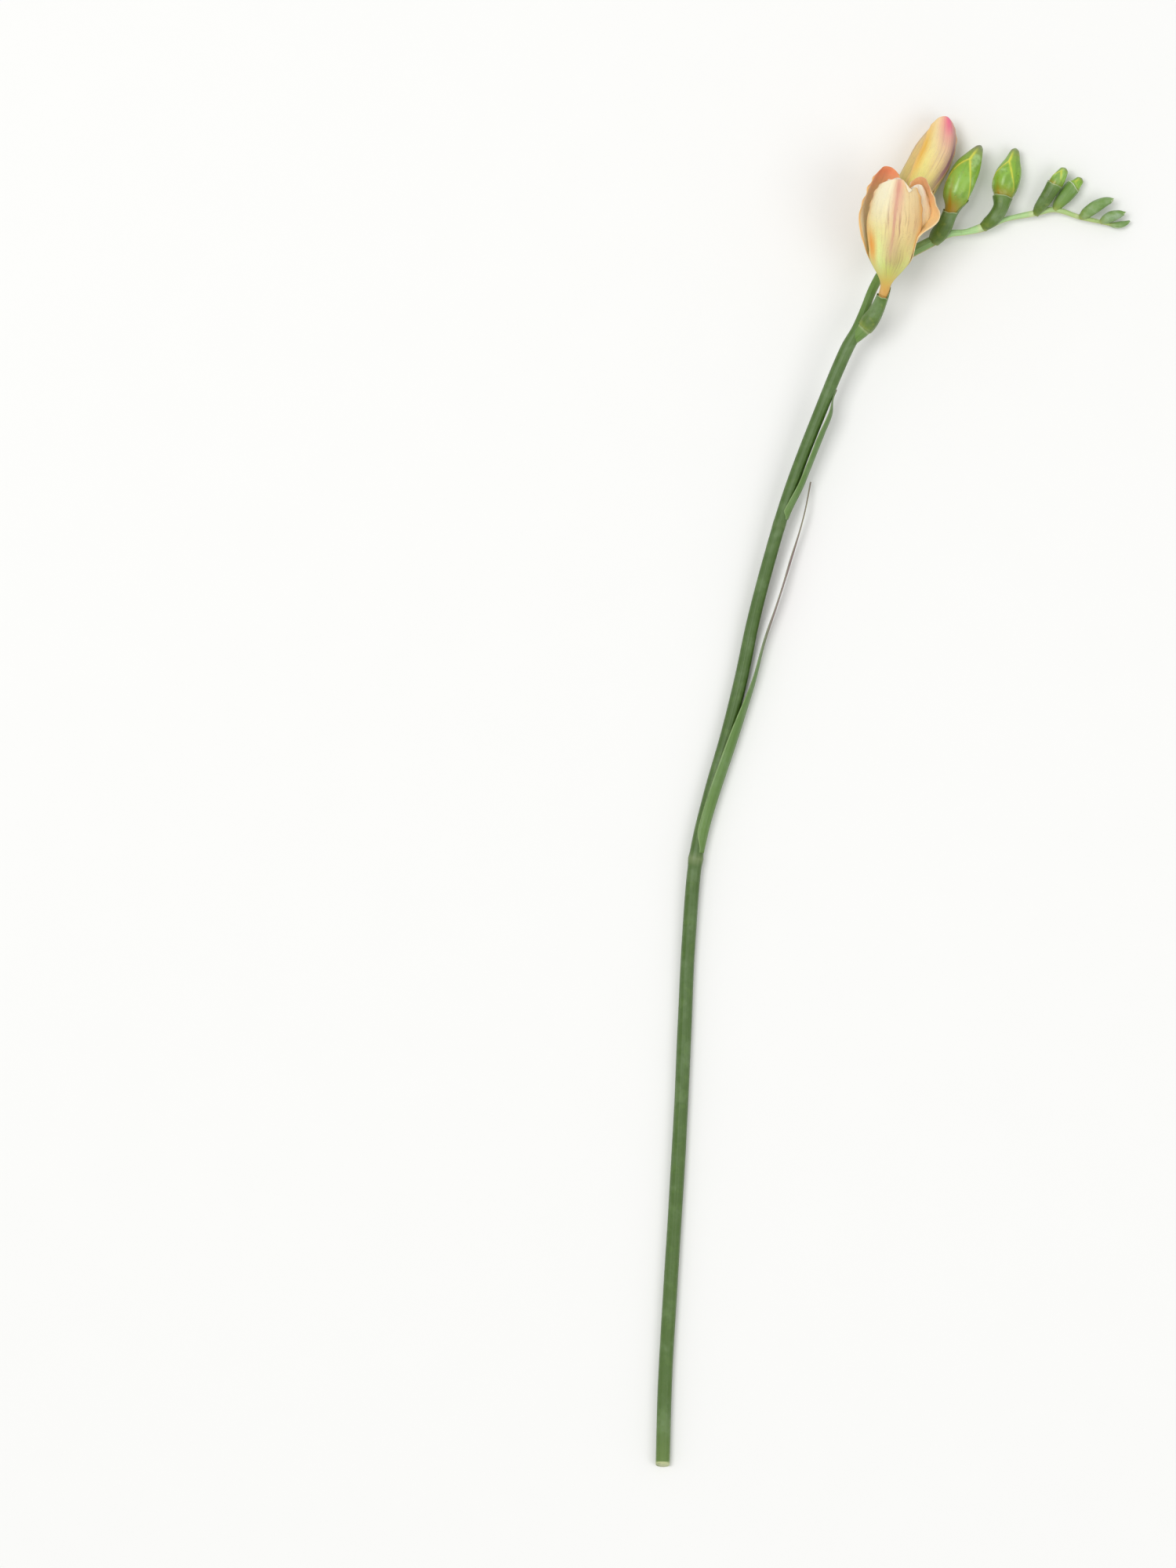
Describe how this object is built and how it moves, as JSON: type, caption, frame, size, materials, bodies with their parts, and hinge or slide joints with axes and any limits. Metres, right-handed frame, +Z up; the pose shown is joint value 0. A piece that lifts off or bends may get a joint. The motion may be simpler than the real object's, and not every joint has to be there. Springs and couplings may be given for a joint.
{
  "type": "cut freesia stem",
  "caption": "Single cut freesia stem lying down: thin stem with slim leaves, open cream flowers and a one-sided comb of green buds on an arching stalk.",
  "frame": {"origin": "on the stem's flat underside, on the surface it lies on, about 6.5 mm from the middle of the cut end", "axes": "+Y along the stem from the cut end to the flowers, +X across it to the side that the flower stalk bends to, +Z up from the surface"},
  "size_m": [0.1862, 0.5297, 0.0418],
  "materials": {
    "stem": "smooth fresh green skin, paler along the flower stalk",
    "leaf": "satin green with fine ribs along it, dry brown at the lower tip",
    "bract": "satin green with a thin pale rim",
    "bud": "smooth waxy yellow-green, yellow at the edges of its tepals",
    "petal": "soft silky cream, blushed pink, with fine purple veins and orange inside",
    "stamen": "matt pale cream"
  },
  "bodies": {
    "root": {"stem": "stem", "leaf_lower": "leaf", "leaf_upper": "leaf", "bracts_1": "bract", "bracts_2": "bract", "bracts_3": "bract", "bracts_4": "bract", "bracts_5": "bract", "bracts_6": "bract", "bracts_7": "bract", "bracts_8": "bract", "flower_1": "petal", "flower_2": "petal", "stamens_1": "stamen", "stamens_2": "stamen", "bud_3": "bud", "bud_4": "bud", "bud_5": "bud", "bud_6": "bud", "bud_7": "bud", "bud_8": "bud", "tip_bud": "bract"}
  },
  "joints": []
}
